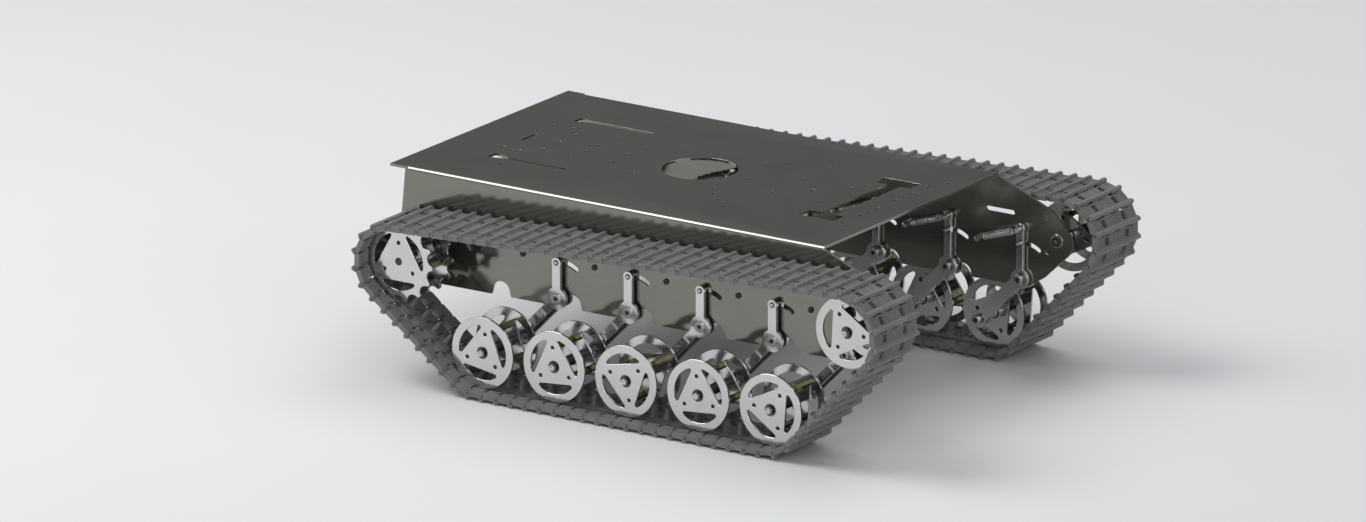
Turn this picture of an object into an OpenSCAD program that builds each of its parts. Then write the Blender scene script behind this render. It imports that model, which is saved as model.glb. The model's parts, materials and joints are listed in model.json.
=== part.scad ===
// Tracked robot chassis: a folded sheet hull over two link tracks, each with a drive
// sprocket, an idler and a row of road wheels on sprung swing arms.
// +X points forward, +Y to the vehicle's left, +Z up. The origin is on the ground,
// midway between the two ends of the vehicle and midway between the two tracks.

/* [Hull] */
// Length of the deck
deck_l = 408.5; // [404:0.5:412]
// Width over the two side walls
body_w = 247.2; // [244:0.2:247.6]
// Height of the deck's top face above the ground
deck_z = 157.6; // [152:0.2:170]
// Thickness of the folded sheet
sheet = 2; // [1.5:0.5:2]
// Radius of the large hole in the deck
hole_r = 30.4; // [24:0.2:32]

/* [Running gear] */
// Radius of the road wheels and idlers
wheel_r = 28.7; // [28:0.1:28.8]
// Distance between neighbouring road wheels
wheel_pitch = 67.6; // [67.4:0.1:68]
// Height of the idler's axis above the ground
idler_z = 110.7; // [107:0.1:112]
// Height of the sprocket's axis above the ground
sprocket_z = 96.2; // [93:0.1:98]
// Thickness of the wheel and sprocket discs
disc_t = 2; // [1.5:0.5:2]

/* [Tracks] */
// Distance between the centre lines of the two tracks
gauge = 314.8; // [314.6:0.2:318]
// Width of a track
link_w = 61; // [58:1:61]
// Number of links in a track
link_n = 80; // [80:1:80]

/* [Hidden] */
wheel_n = 5;
tooth_n = 14;

// Track link, measured from its inner face
pin_h = 2.35;
plate_h = 4.2;
bar_h = 6.75;
window_h = 5.35;
window_in = 12;
window_out = 15.6;
pin_r = 0.95;
horn_h = 8.4;
knuckle = 1.9;

// Radius of the hinge line round a wheel, whose rim touches the middle of each link
half_link = 6.85;
turn_r = norm([wheel_r + pin_h + 0.05, half_link]);
// Radius of the hinge line round the sprocket, which tooth_n links fit
sprocket_turn_r = 30.46;

// Axes of the running gear
wheel_z = turn_r + bar_h - pin_h;
mid_wheel_x = 8;
wheel_x = [for (i = [0:wheel_n - 1]) mid_wheel_x + (i - 2) * wheel_pitch];
idler_x = 214;
sprocket_x = -208.5;
track_y = gauge / 2;

// Swing arms: the pivot's place from the wheel's axle, and the two lever lengths
pivot_dx = 38.4;
pivot_dz = 39.1;
pin_lever = 29.2;
spring_lever = 41;
pivot_z = wheel_z + pivot_dz;
arm_t = 3;
arm_in = body_w / 2 - 3;
arm_out = body_w / 2 + 2.6;
axle_r = 2.45;
pivot_r = 3;
spring_y = body_w / 2 - 10.1;
anchor_dx = -35;
anchor_dz = 29.5;

// Turn of each wheel's three-armed pattern about its axle
wheel_turn = [81, 95, 41, 95, 56];
idler_turn = 117;

// The hull's side view, from the deck's centre
deck_x = -46;
wall_y = body_w / 2;

// ---------- outlines ----------
function arc(c, r, a0, a1, n) =
    [for (i = [0:n]) c + r * [cos(a0 + (a1 - a0) * i / n), sin(a0 + (a1 - a0) * i / n)]];

// A slot of width w that follows an arc of radius r
function arc_slot(r, w, a0, a1) = concat(
    arc([0, 0], r + w / 2, a0, a1, 6),
    arc(r * [cos(a1), sin(a1)], w / 2, a1, a1 + 180, 6),
    arc([0, 0], r - w / 2, a1, a0, 6),
    arc(r * [cos(a0), sin(a0)], w / 2, a0 + 180, a0 + 360, 6));

// A straight slot with round ends, l long over all, along the first axis
function slot(c, l, w) = concat(
    arc(c + [(l - w) / 2, 0], w / 2, -90, 90, 8),
    arc(c - [(l - w) / 2, 0], w / 2, 90, 270, 8));

// A window between a chord at distance d and an arc of radius r, its corners rounded by f
function window(d, r, f) =
    let (x = d + f, y = sqrt(pow(r - f, 2) - x * x), a = atan2(y, x))
    concat(
        arc([0, 0], r, -a, a, 12),
        arc([x, y], f, a, 180, 4),
        arc([x, -y], f, 180, 360 - a, 4));

// A drawing in X and Z, given thickness t from y outwards
module xz(y, t) {
    translate([0, y + t, 0]) rotate([90, 0, 0]) linear_extrude(t) children();
}

// A round bar along Y, from y0 to y1
module rod(r, y0, y1, sides = 32) {
    translate([0, y1, 0]) rotate([90, 0, 0]) cylinder(r = r, h = y1 - y0, $fn = sides);
}

module side(right) {
    mirror([0, right ? 1 : 0, 0]) children();
}

// ---------- track path ----------
// Each wheel that the track bends round: its centre, and the radius of the hinge line
turns = [
    [[wheel_x[0], wheel_z], turn_r],
    [[wheel_x[wheel_n - 1], wheel_z], turn_r],
    [[idler_x, idler_z], turn_r],
    [[sprocket_x, sprocket_z], sprocket_turn_r]];
turn_n = len(turns);

// Direction of the outward normal of the straight run that leaves a turn
function run_normal(i) =
    let (a = turns[i], b = turns[(i + 1) % turn_n], v = b[0] - a[0])
    atan2(v[1], v[0]) - acos((a[1] - b[1]) / norm(v));

function unit(a) = [cos(a), sin(a)];
function run_start(i) = turns[i][0] + turns[i][1] * unit(run_normal(i));
function run_end(i) =
    turns[(i + 1) % turn_n][0] + turns[(i + 1) % turn_n][1] * unit(run_normal(i));
function run_l(i) = norm(run_end(i) - run_start(i));
function bend(i) =
    (run_normal(i) - run_normal((i + turn_n - 1) % turn_n) + 720) % 360;
function bend_l(i) = turns[i][1] * bend(i) * PI / 180;

// Length of the path up to stretch k; even stretches are bends, odd ones are runs
function stretch_l(k) = k % 2 == 0 ? bend_l(k / 2) : run_l((k - 1) / 2);
function sum_l(k) = k == 0 ? 0 : sum_l(k - 1) + stretch_l(k - 1);
path_l = sum_l(2 * turn_n);
pitch = path_l / link_n;
starts = [for (k = [0:2 * turn_n]) sum_l(k)];

// Point at distance s along the path
function on_stretch(k, s) =
    let (i = floor(k / 2))
    k % 2 == 0
        ? turns[i][0] + turns[i][1]
            * unit(run_normal(i) - bend(i) + s / turns[i][1] * 180 / PI)
        : run_start(i) + (run_end(i) - run_start(i)) * s / run_l(i);
function on_path(s, k = 0) =
    let (w = s % path_l)
    w < starts[k + 1] || k == 2 * turn_n - 1
        ? on_stretch(k, w - starts[k])
        : on_path(w, k + 1);

hinges = [for (i = [0:link_n]) on_path(i * pitch)];

// The sprocket's first tooth points at the middle of the link nearest to its back
near = [for (i = [0:link_n - 1])
    norm((hinges[i] + hinges[i + 1]) / 2 - turns[3][0] - [-30, 0])];
back_link = search(min(near), near)[0];
back_mid = (hinges[back_link] + hinges[back_link + 1]) / 2 - turns[3][0];
tooth_turn = atan2(back_mid[1], back_mid[0]);

// ---------- hull ----------
module wall_outline() {
    nose_r = 15;
    bottom = 66.8;
    polygon(concat(
        [
            [deck_x - 189.5, deck_z + 1],
            [deck_x - 193.4, bottom + 51.5],
            [deck_x - 184, bottom + 8.4],
            [deck_x - 168.3, bottom],
            [idler_x - 28, bottom + 2],
            [idler_x - 11.8, bottom + 11.9]
        ],
        arc([idler_x, idler_z], nose_r, -48, 20, 8),
        [
            [idler_x - 4.7, bottom + 67.9],
            [deck_x + deck_l / 2, deck_z - 2],
            [deck_x + deck_l / 2, deck_z + 1]
        ]));
}

// The folded sheet's section across the vehicle
module fold() {
    outer_r = 3;
    inner_r = outer_r - sheet;
    top = deck_z - outer_r;
    polygon(concat(
        [[wall_y, 60]],
        arc([wall_y - outer_r, top], outer_r, 0, 90, 6),
        arc([outer_r - wall_y, top], outer_r, 90, 180, 6),
        [[-wall_y, 60], [sheet - wall_y, 60]],
        arc([outer_r - wall_y, top], inner_r, 180, 90, 4),
        arc([wall_y - outer_r, top], inner_r, 90, 0, 4),
        [[wall_y - sheet, 60]]));
}

// Opening in the wall's lower edge that the wheel's axle rises into
module axle_notch() {
    half = 8.3;
    crown = 78.8;
    foot = 3;
    polygon(concat(
        arc([0, crown - half], half, 0, 180, 10),
        [[-half, 68 + foot], [-half - foot, 60], [half + foot, 60], [half, 68 + foot]]));
}

module wall_cuts() {
    for (x = wheel_x) translate([x + pivot_dx, 0]) {
        translate([-55.8, 0]) axle_notch();
        translate([0, pivot_z]) {
            polygon(arc_slot(pin_lever, 4.2, 58.5, 90.5));
            circle(r = pivot_r, $fn = 32);
            translate([anchor_dx, anchor_dz]) circle(r = 1.7, $fn = 24);
        }
    }
    translate([sprocket_x, sprocket_z]) {
        circle(r = 6.2, $fn = 32);
        for (a = [30:60:330]) rotate(a) translate([motor_bolt_r, 0]) circle(r = 1.7, $fn = 24);
    }
    translate([idler_x, idler_z]) circle(r = axle_r, $fn = 32);
    polygon(slot([idler_x - 52.9, idler_z + 16.5], 26.7, 4));
    polygon(slot([idler_x - 8.7, idler_z - 10.7], 5, 2.4));
    translate([idler_x - 10.3, idler_z + 17.8]) circle(r = 1.7, $fn = 24);
}

// Places of the small holes in the deck, from its centre
deck_holes = concat(
    [for (x = [-131.5, 79, 189], s = [-1, 1]) [x, s * 76]],
    [for (y = [12, 24, 36, 60], s = [-1, 1]) [180.4, s * y]],
    [for (x = [-32.5, 43.5], s = [-1, 1]) [x, s * 38]],
    [for (x = [-96.8], y = [10, 33], s = [-1, 1]) [x, s * y]],
    [for (x = [133, 87.7], s = [-1, 1]) [x, s * 21.5]],
    [for (x = [-128, -60.8], s = [-1, 1]) [x, s * 23]],
    [for (s = [-1, 1]) [52.5, s * 51]],
    [for (s = [-1, 1]) [-140.6, s * 37]],
    [for (s = [-1, 1]) [-158, s * 35]],
    [for (x = [111.6, 53, -65.5, -127.6]) [x, 0]]);
hole_x = 5.5;

module deck_cuts() {
    small_r = 1.7;
    translate([hole_x, 0]) circle(r = hole_r, $fn = 96);
    for (p = deck_holes) translate(p) circle(r = small_r, $fn = 24);
    // Front cut-out: a neck across the vehicle with a bar at each end
    translate([150, -47]) square([13, 94]);
    for (s = [-1, 1]) translate([155.5, s * 53.5]) square([33, 15], center = true);
    // Rear cable slots, each with a wider back end
    for (s = [-1, 1]) translate([0, s * 60]) {
        translate([-150, -1.75]) square([70, 3.5]);
        polygon([[-137, -1.75], [-152, -6], [-152, 6], [-137, 1.75]]);
    }
    polygon([for (p = slot([0, 0], 21, 3)) [p[1] - 156, p[0] - 1.5]]);
}

module chassis_shell() {
    color([0.36, 0.36, 0.34]) difference() {
        union() {
            intersection() {
                translate([deck_x - deck_l / 2, 0, 0])
                    rotate([90, 0, 90]) linear_extrude(2 * deck_l) fold();
                xz(-wall_y - 1, body_w + 2) wall_outline();
            }
            translate([deck_x - deck_l / 2, -wall_y, deck_z - sheet])
                cube([16, body_w, sheet]);
        }
        xz(-wall_y - 1, body_w + 2) wall_cuts();
        translate([deck_x, 0, deck_z - sheet - 1]) linear_extrude(sheet + 2) deck_cuts();
    }
}

// ---------- tracks ----------
// A link's outline from above: travel along the first axis, its hinge pins at half a pitch
module link_plan() {
    end = pitch / 2 + knuckle;
    back = pitch / 2 - 2.45;
    block = pitch / 2 - 1.5;
    half = [
        [block, 0], [block, 13.8], [back, 13.8], [back, 23.2], [end, 23.2],
        [end, link_w / 2], [-back, link_w / 2], [-back, 22.9], [-end, 22.9],
        [-end, 13.8], [-block, 13.8], [-block, 0]];
    mirrored = [for (i = [len(half) - 2:-1:1]) [half[i][0], -half[i][1]]];
    polygon(concat(half, mirrored));
}

// A link's section along its travel: flat faces with chamfered knuckles
module link_section() {
    p = pitch / 2;
    k = knuckle;
    polygon([
        [-p + 1.2, 0], [p - 1.2, 0], [p + k, pin_h - 0.6], [p + k, pin_h + 0.75],
        [p + 0.8, plate_h], [-p - 0.8, plate_h], [-p - k, pin_h + 0.75],
        [-p - k, pin_h - 0.6]]);
}

module link() {
    difference() {
        union() {
            intersection() {
                linear_extrude(plate_h) link_plan();
                xz(-link_w / 2, link_w) link_section();
            }
            // Grouser bar over the rear hinge, clear of the next link's knuckles
            xz(-link_w / 2, link_w) translate([-pitch / 2, 0])
                polygon([[-2, plate_h + 0.25], [2.1, plate_h + 0.25], [2.1, plate_h - 0.3],
                    [3.2, plate_h - 0.3], [1.1, bar_h], [-1.1, bar_h]]);
            intersection() {
                xz(-5, 10) polygon([[-2.6, 0.5], [2.6, 0.5], [1.5, -horn_h], [-1.5, -horn_h]]);
                rotate([90, 0, 90]) translate([0, 0, -3]) linear_extrude(6)
                    polygon([[-5, 0.6], [5, 0.6], [3, -horn_h - 1], [-3, -horn_h - 1]]);
            }
        }
        for (y = [-window_out, window_in])
            translate([-pitch, y, -1]) cube([2 * pitch, window_out - window_in, window_h + 1]);
        for (x = [-pitch / 2, pitch / 2])
            translate([x, 0, pin_h]) rod(pin_r + 0.1, -link_w, link_w, 16);
    }
}

// Puts a shape drawn for one link at link i; for_pin puts it at the link's first hinge
module at_link(i, for_pin = false) {
    a = hinges[i];
    b = hinges[i + 1];
    mid = for_pin ? a : (a + b) / 2;
    turn = atan2(b[1] - a[1], b[0] - a[0]);
    translate([mid[0], track_y, mid[1]]) rotate([0, -turn, 0]) rotate([180, 0, 0])
        translate([0, 0, -pin_h]) children();
}

module track() {
    color([0.33, 0.34, 0.35]) for (i = [0:link_n - 1]) at_link(i) link();
}

module track_pins() {
    pin_l = link_w / 2 - window_out - 0.2;
    color([0.6, 0.6, 0.6]) for (right = [false, true], i = [0:link_n - 1], s = [-1, 1])
        side(right) at_link(i, true) translate([0, 0, pin_h])
            rod(pin_r, s > 0 ? window_out + 0.1 : -window_out - 0.1 - pin_l,
                s > 0 ? window_out + 0.1 + pin_l : -window_out - 0.1, 16);
}

// ---------- wheels ----------
disc_in = 15.4;
bore_r = 5;
spacer_at = 15.4;
spacer_hole = 1.7;

// Places the parts of a wheel: its axle at the origin, its middle on the track's centre line
module at_wheel(x, z, turn) {
    translate([x, track_y, z]) rotate([0, -turn, 0]) children();
}

module wheel_face(chord, cut_r) {
    difference() {
        circle(r = wheel_r, $fn = 96);
        circle(r = bore_r, $fn = 48);
        for (a = [0, 120, 240]) rotate(a) {
            translate([spacer_at, 0]) circle(r = spacer_hole, $fn = 24);
            rotate(180) polygon(window(chord, cut_r, 1.6));
        }
    }
}

module wheel_discs() {
    for (y = [-disc_in - disc_t, disc_in]) xz(y, disc_t) wheel_face(13.7, 22.3);
}

// Bearings pressed into both discs, joined by the tube that keeps them apart
module hub_tube(inner, outer) {
    difference() {
        union() {
            rod(outer - 0.6, -disc_in, disc_in);
            for (s = [-1, 1]) rod(outer, s > 0 ? disc_in : -disc_in - disc_t,
                s > 0 ? disc_in + disc_t : -disc_in);
        }
        rod(inner, -disc_in - 4, disc_in + 4);
    }
}

// Three brass spacers with their screws, between two discs at distance y from the middle
module spacers(y) {
    for (a = [0, 120, 240]) rotate([0, -a, 0]) translate([spacer_at, 0, 0]) {
        rod(2.5, -y, y);
        rod(spacer_hole, -y - disc_t + 0.1, y + disc_t - 0.1, 24);
    }
}

module wheel_hub() {
    color("silver") hub_tube(2.5, bore_r);
    color([0.71, 0.58, 0.3]) spacers(disc_in);
}

module wheel(right, i) {
    color([0.76, 0.76, 0.75]) side(right) at_wheel(wheel_x[i], wheel_z, wheel_turn[i])
        wheel_discs();
}

module hub(right, i) {
    side(right) at_wheel(wheel_x[i], wheel_z, wheel_turn[i]) wheel_hub();
}

module idler(right) {
    color([0.8, 0.8, 0.79]) side(right) at_wheel(idler_x, idler_z, idler_turn) wheel_discs();
}

module idler_hub(right) {
    side(right) at_wheel(idler_x, idler_z, idler_turn) wheel_hub();
}

// ---------- sprocket and its motor ----------
tooth_tip = 32.3;
tooth_root = 27.8;
sprocket_in = 12.8;
motor_r = 18.5;
motor_bolt_r = 15.5;
shaft_r = 3;

module sprocket_face() {
    step = 360 / tooth_n;
    difference() {
        polygon([for (i = [0:tooth_n - 1], c = [
            [tooth_root, -9.4], [tooth_root + 1.6, -5.4], [tooth_tip, -2.4],
            [tooth_tip, 2.4], [tooth_root + 1.6, 5.4], [tooth_root, 9.4]])
            c[0] * unit(i * step + tooth_turn + c[1])]);
        circle(r = shaft_r, $fn = 32);
        for (a = [90, 210, 330]) rotate(a) {
            translate([15.3, 0]) circle(r = spacer_hole, $fn = 24);
            rotate(180) polygon(window(15.9, 23.4, 1.4));
        }
    }
}

module sprocket(right) {
    color([0.72, 0.72, 0.71]) side(right) translate([sprocket_x, track_y, sprocket_z])
        for (y = [-sprocket_in - disc_t, sprocket_in]) xz(y, disc_t) sprocket_face();
}

// Shaft with a flanged hub between the two discs
module sprocket_hub(right) {
    spacer_r = 2.4;
    shaft_in = body_w / 2 - sheet - 20 - track_y;
    side(right) translate([sprocket_x, track_y, sprocket_z]) {
        color("silver") {
            rod(8, -sprocket_in, sprocket_in);
            rod(shaft_r, shaft_in, sprocket_in + disc_t + 0.6);
            rod(5.6, body_w / 2 + 1.4 - track_y, -sprocket_in - disc_t - 0.3);
        }
        color([0.71, 0.58, 0.3]) for (a = [90, 210, 330]) rotate([0, -a, 0])
            translate([15.3, 0, 0]) {
                rod(spacer_r, -sprocket_in, sprocket_in);
                rod(spacer_hole, -sprocket_in - disc_t + 0.1, sprocket_in + disc_t - 0.1, 24);
            }
    }
}

module gear_motor(right) {
    face = wall_y - sheet;
    gearbox = 26;
    can = 32;
    color([0.25, 0.25, 0.26]) side(right) translate([sprocket_x, 0, sprocket_z]) difference() {
        union() {
            rod(motor_r, face - gearbox, face, 64);
            rod(motor_r - 1.5, face - gearbox - can, face - gearbox, 64);
            rod(6, face, face + sheet + 1);
            rod(5, face - gearbox - can - 4, face - gearbox - can);
        }
        rod(shaft_r + 0.05, face - 21, face + 10);
        for (a = [30:60:330]) rotate([0, -a, 0]) translate([motor_bolt_r, 0, 0])
            rod(1.5, face - 5, face + 1, 24);
    }
}

// ---------- suspension ----------
// A flat strap of width w between two points, in the drawing of X and Z
module strap(a, b, w) {
    v = (b - a) / norm(b - a);
    n = [-v[1], v[0]] * w / 2;
    polygon([a + n, a - n, b - n, b + n]);
}

// Bell crank: an arm down to the axle and a lever up from the pivot
module crank(pivot_boss, axle_boss, top_boss, arm_w, lever_w, lever, top_hole) {
    axle = [-pivot_dx, -pivot_dz];
    difference() {
        union() {
            circle(r = pivot_boss, $fn = 48);
            translate(axle) circle(r = axle_boss, $fn = 32);
            translate([0, lever]) circle(r = top_boss, $fn = 32);
            strap([0, 0], axle, arm_w);
            strap([0, 0], [0, lever], lever_w);
        }
        circle(r = pivot_r + 0.05, $fn = 32);
        translate(axle) circle(r = axle_r, $fn = 32);
        translate([0, pin_lever]) circle(r = 1.5, $fn = 24);
        if (top_hole > 0) translate([0, lever]) circle(r = top_hole, $fn = 24);
    }
}

module arm(right, i) {
    side(right) translate([wheel_x[i] + pivot_dx, 0, pivot_z]) {
        color([0.66, 0.66, 0.66]) xz(arm_in - arm_t, arm_t)
            crank(8.2, 7, 4.2, 10.5, 6.5, spring_lever, 1.2);
        color([0.24, 0.26, 0.28]) xz(arm_out, arm_t)
            crank(9, 6.2, 4.2, 7.4, 7.5, pin_lever, 0);
    }
}

// The wheel's axle with its spacing sleeves and nut, and the pin that ties the two cranks
module axle(right, i) {
    sleeve_end = track_y - disc_in - disc_t - 0.25;
    hub_end = track_y + disc_in + disc_t + 0.25;
    nut = 2.8;
    side(right) {
        translate([wheel_x[i], 0, wheel_z]) color([0.55, 0.55, 0.53]) {
            rod(axle_r, arm_in - arm_t - 3.4, hub_end + nut + 1.2);
            rod(4, arm_in - arm_t - 2.6, arm_in - arm_t, 6);
            rod(4, arm_in, arm_out);
            rod(4, arm_out + arm_t, sleeve_end);
            rod(4, hub_end, hub_end + nut, 6);
        }
        translate([wheel_x[i] + pivot_dx, 0, pivot_z + pin_lever]) color([0.35, 0.35, 0.35]) {
            rod(1.5, arm_in - arm_t, arm_out + arm_t);
            rod(2.8, arm_out + arm_t, arm_out + arm_t + 1.6, 24);
        }
        // Stud that the spring's moving end hooks over
        translate([wheel_x[i] + pivot_dx, 0, pivot_z + spring_lever]) color([0.35, 0.35, 0.35])
            rod(1.2, spring_y - 4, arm_in);
    }
}

module pivot_bolts() {
    color([0.35, 0.35, 0.35]) for (right = [false, true], x = wheel_x)
        side(right) translate([x + pivot_dx, 0, pivot_z]) {
            rod(pivot_r, arm_in - arm_t - 0.2, arm_out + arm_t + 0.2);
            rod(5, arm_in - arm_t - 3.2, arm_in - arm_t - 0.2, 6);
            rod(4.8, arm_out + arm_t + 0.2, arm_out + arm_t + 2.8);
        }
}

module idler_axles() {
    sleeve_end = track_y - disc_in - disc_t - 0.25;
    hub_end = track_y + disc_in + disc_t + 0.25;
    color([0.55, 0.55, 0.53]) for (right = [false, true])
        side(right) translate([idler_x, 0, idler_z]) {
            rod(axle_r, wall_y - sheet - 4.4, hub_end + 4);
            rod(5, wall_y - sheet - 3, wall_y - sheet, 6);
            rod(4, wall_y, sleeve_end);
            rod(4, hub_end, hub_end + 2.8, 6);
        }
}

// Posts that the springs' fixed ends hook over
module wall_screws() {
    post_end = spring_y - 4;
    color([0.35, 0.35, 0.35]) for (right = [false, true], x = wheel_x)
        side(right) translate([x + pivot_dx + anchor_dx, 0, pivot_z + anchor_dz]) {
            rod(1.7, post_end, wall_y, 24);
            rod(2.6, wall_y, wall_y + 1.6, 24);
        }
    color([0.35, 0.35, 0.35]) for (right = [false, true], a = [30:60:330])
        side(right) translate([sprocket_x, 0, sprocket_z]) rotate([0, -a, 0])
            translate([motor_bolt_r, 0, 0]) {
                rod(1.5, wall_y - sheet - 5, wall_y, 24);
                rod(2.6, wall_y, wall_y + 1.6, 24);
            }
}

// Each spring is drawn as the cylinder that its coils fill
module springs(right) {
    coil_r = 3.1;
    from = [anchor_dx, anchor_dz];
    to = [0, spring_lever];
    v = (to - from) / norm(to - from);
    color([0.3, 0.3, 0.3]) for (x = wheel_x)
        side(right) translate([x + pivot_dx, spring_y, pivot_z])
            translate([from[0], 0, from[1]] + 4.5 * [v[0], 0, v[1]])
                rotate([0, 90 - atan2(v[1], v[0]), 0])
                    cylinder(r = coil_r, h = norm(to - from) - 9, $fn = 32);
}

chassis_shell();
side(true) track();  // right_track
side(false) track();  // left_track
track_pins();
gear_motor(true);  // right_gear_motor
gear_motor(false);  // left_gear_motor
pivot_bolts();
idler_axles();
wall_screws();
springs(true);  // right_springs
springs(false);  // left_springs
sprocket(true);  // right_sprocket
sprocket(false);  // left_sprocket
sprocket_hub(true);  // right_sprocket_hub
sprocket_hub(false);  // left_sprocket_hub
idler(true);  // right_idler
idler(false);  // left_idler
idler_hub(true);  // right_idler_hub
idler_hub(false);  // left_idler_hub
for (i = [1:wheel_n]) {
    arm(true, i - 1);
    arm(false, i - 1);
    axle(true, i - 1);
    axle(false, i - 1);
    wheel(true, i - 1);
    wheel(false, i - 1);
    hub(true, i - 1);
    hub(false, i - 1);
}
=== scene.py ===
import json
import math
import bmesh
import bpy
from mathutils import Matrix, Vector


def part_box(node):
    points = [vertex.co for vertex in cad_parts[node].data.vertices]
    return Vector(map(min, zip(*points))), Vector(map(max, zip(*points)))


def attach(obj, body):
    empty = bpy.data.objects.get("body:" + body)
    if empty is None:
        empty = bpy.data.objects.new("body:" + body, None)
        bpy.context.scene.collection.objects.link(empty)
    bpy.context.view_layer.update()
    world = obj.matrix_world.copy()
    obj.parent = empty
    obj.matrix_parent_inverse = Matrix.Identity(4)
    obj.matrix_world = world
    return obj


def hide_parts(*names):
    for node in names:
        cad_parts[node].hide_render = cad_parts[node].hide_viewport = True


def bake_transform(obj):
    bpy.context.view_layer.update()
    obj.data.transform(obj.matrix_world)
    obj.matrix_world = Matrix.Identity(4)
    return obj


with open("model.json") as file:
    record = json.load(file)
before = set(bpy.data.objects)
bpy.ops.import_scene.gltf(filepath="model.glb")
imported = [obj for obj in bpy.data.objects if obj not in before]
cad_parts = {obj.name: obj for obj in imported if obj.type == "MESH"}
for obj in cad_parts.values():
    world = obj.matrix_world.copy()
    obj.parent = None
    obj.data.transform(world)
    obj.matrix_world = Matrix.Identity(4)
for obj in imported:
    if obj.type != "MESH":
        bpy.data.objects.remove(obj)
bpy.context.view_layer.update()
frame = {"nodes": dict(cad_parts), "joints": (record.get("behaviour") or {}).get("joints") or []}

nodes = frame["nodes"]
SIDES = (("right", -1), ("left", 1))


# ---------- materials ----------
class Shader:
    """A material's node tree, built with short calls."""

    def __init__(self, name):
        self.material = bpy.data.materials.new(name)
        self.material.use_nodes = True
        self.tree = self.material.node_tree
        self.tree.nodes.clear()
        self.out = self.tree.nodes.new("ShaderNodeOutputMaterial")
        self.coords = self.tree.nodes.new("ShaderNodeTexCoord").outputs["Object"]

    def plug(self, node, name, value):
        socket = node.inputs[name]
        if isinstance(value, bpy.types.NodeSocket):
            self.tree.links.new(value, socket)
        else:
            socket.default_value = value

    def node(self, kind, output=0, settings=None, **inputs):
        node = self.tree.nodes.new("ShaderNode" + kind)
        for key, value in (settings or {}).items():
            setattr(node, key, value)
        for key, value in inputs.items():
            self.plug(node, int(key[1:]) if key[0] == "_" else key.replace("_", " "), value)
        return node.outputs[output]

    def stretched(self, scale):
        return self.node("Mapping", _0=self.coords, _3=scale)

    def noise(self, size, detail=3, rough=0.55, stretch=None):
        where = self.stretched(stretch) if stretch else self.coords
        return self.node("TexNoise", Vector=where, Scale=1 / size, Detail=detail, Roughness=rough)

    def ramp(self, value, *stops):
        """Maps a number onto colours or greys given as (position, colour) stops."""
        out = self.node("ValToRGB", _0=value)
        ramp = out.node.color_ramp
        for i, (at, shade) in enumerate(stops):
            stop = ramp.elements[i] if i < 2 else ramp.elements.new(at)
            stop.position = at
            stop.color = (*shade, 1) if isinstance(shade, tuple) else (shade, shade, shade, 1)
        return out

    def mix(self, amount, a, b, blend="MIX"):
        def shade(c):
            return (*c, 1) if isinstance(c, tuple) else c
        return self.node("MixRGB", settings={"blend_type": blend}, _0=amount, _1=shade(a), _2=shade(b))

    def maths(self, what, a, b=0.5, c=0.5):
        return self.node("Math", settings={"operation": what}, _0=a, _1=b, _2=c)

    def bump(self, height, distance, strength):
        return self.node("Bump", Height=height, Distance=distance, Strength=strength)

    def edges(self, size=0.0005):
        """About 1 within size of a sharp edge, 0 on flats."""
        rounded = self.node("Bevel", settings={"samples": 4}, Radius=size)
        normal = self.tree.nodes.new("ShaderNodeNewGeometry").outputs["Normal"]
        same = self.node("VectorMath", 1, {"operation": "DOT_PRODUCT"}, _0=rounded, _1=normal)
        return self.ramp(same, (0.82, 1.0), (0.985, 0.0))

    def normal_axis(self, axis):
        """How far a face looks along an axis, from 0 to 1, on the mesh at rest."""
        normal = self.tree.nodes.new("ShaderNodeTexCoord").outputs["Normal"]
        return self.maths("ABSOLUTE", self.node("SeparateXYZ", axis, _0=normal))

    def surface(self, **inputs):
        shader = self.tree.nodes.new("ShaderNodeBsdfPrincipled")
        for key, value in inputs.items():
            if isinstance(value, tuple) and len(value) == 3:
                value = (*value, 1)
            self.plug(shader, key.replace("_", " "), value)
        self.tree.links.new(shader.outputs[0], self.out.inputs["Surface"])
        return self.material


def hull_sheet():
    m = Shader("hull_sheet")
    grain = m.noise(0.0012, 4, 0.6, (0.03, 1, 1))
    cloud = m.noise(0.09, 4)
    tint = m.ramp(cloud, (0.3, (0.215, 0.214, 0.183)), (0.7, (0.252, 0.251, 0.221)))
    tint = m.mix(0.25, tint, m.ramp(grain, (0.35, 0.7), (0.65, 1.0)), "MULTIPLY")
    marks = m.ramp(m.noise(0.02, 8, 0.75), (0.62, 0.0), (0.78, 1.0))
    tint = m.mix(m.maths("MULTIPLY", marks, 0.12), tint, (0.4, 0.39, 0.36))
    tint = m.mix(m.maths("MULTIPLY", m.edges(), 0.75), tint, (0.72, 0.71, 0.68))
    gloss = m.ramp(m.noise(0.035, 6, 0.65), (0.3, 0.08), (0.7, 0.14))
    return m.surface(Base_Color=tint, Metallic=0.85, Roughness=gloss,
                     Normal=m.bump(grain, 0.00003, 0.35))


def disc_alloy():
    m = Shader("disc_alloy")
    blasted = m.noise(0.0009, 3, 0.7)
    tint = m.ramp(m.noise(0.03, 4), (0.3, (0.62, 0.622, 0.615)), (0.7, (0.67, 0.67, 0.664)))
    tint = m.mix(0.2, tint, m.ramp(blasted, (0.35, 0.75), (0.65, 1.0)), "MULTIPLY")
    worn = m.ramp(m.noise(0.008, 6, 0.7), (0.58, 0.0), (0.7, 1.0))
    tint = m.mix(m.maths("MULTIPLY", worn, 0.14), tint, (0.5, 0.5, 0.5))
    # Painted shade: the discs' rims and hole walls, the faces turned away from ±Y, are painted darker; cut
    # below is this painted shade, not a finish of cut faces.
    cut = m.ramp(m.normal_axis(1), (0.6, 1.0), (0.95, 0.0))
    tint = m.mix(m.maths("MULTIPLY", cut, 0.6), tint, (0.42, 0.43, 0.44))
    gloss = m.ramp(m.noise(0.012, 5), (0.3, 0.08), (0.7, 0.14))
    return m.surface(Base_Color=tint, Metallic=0.95, Roughness=gloss,
                     Normal=m.bump(blasted, 0.00004, 0.4))


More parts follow.
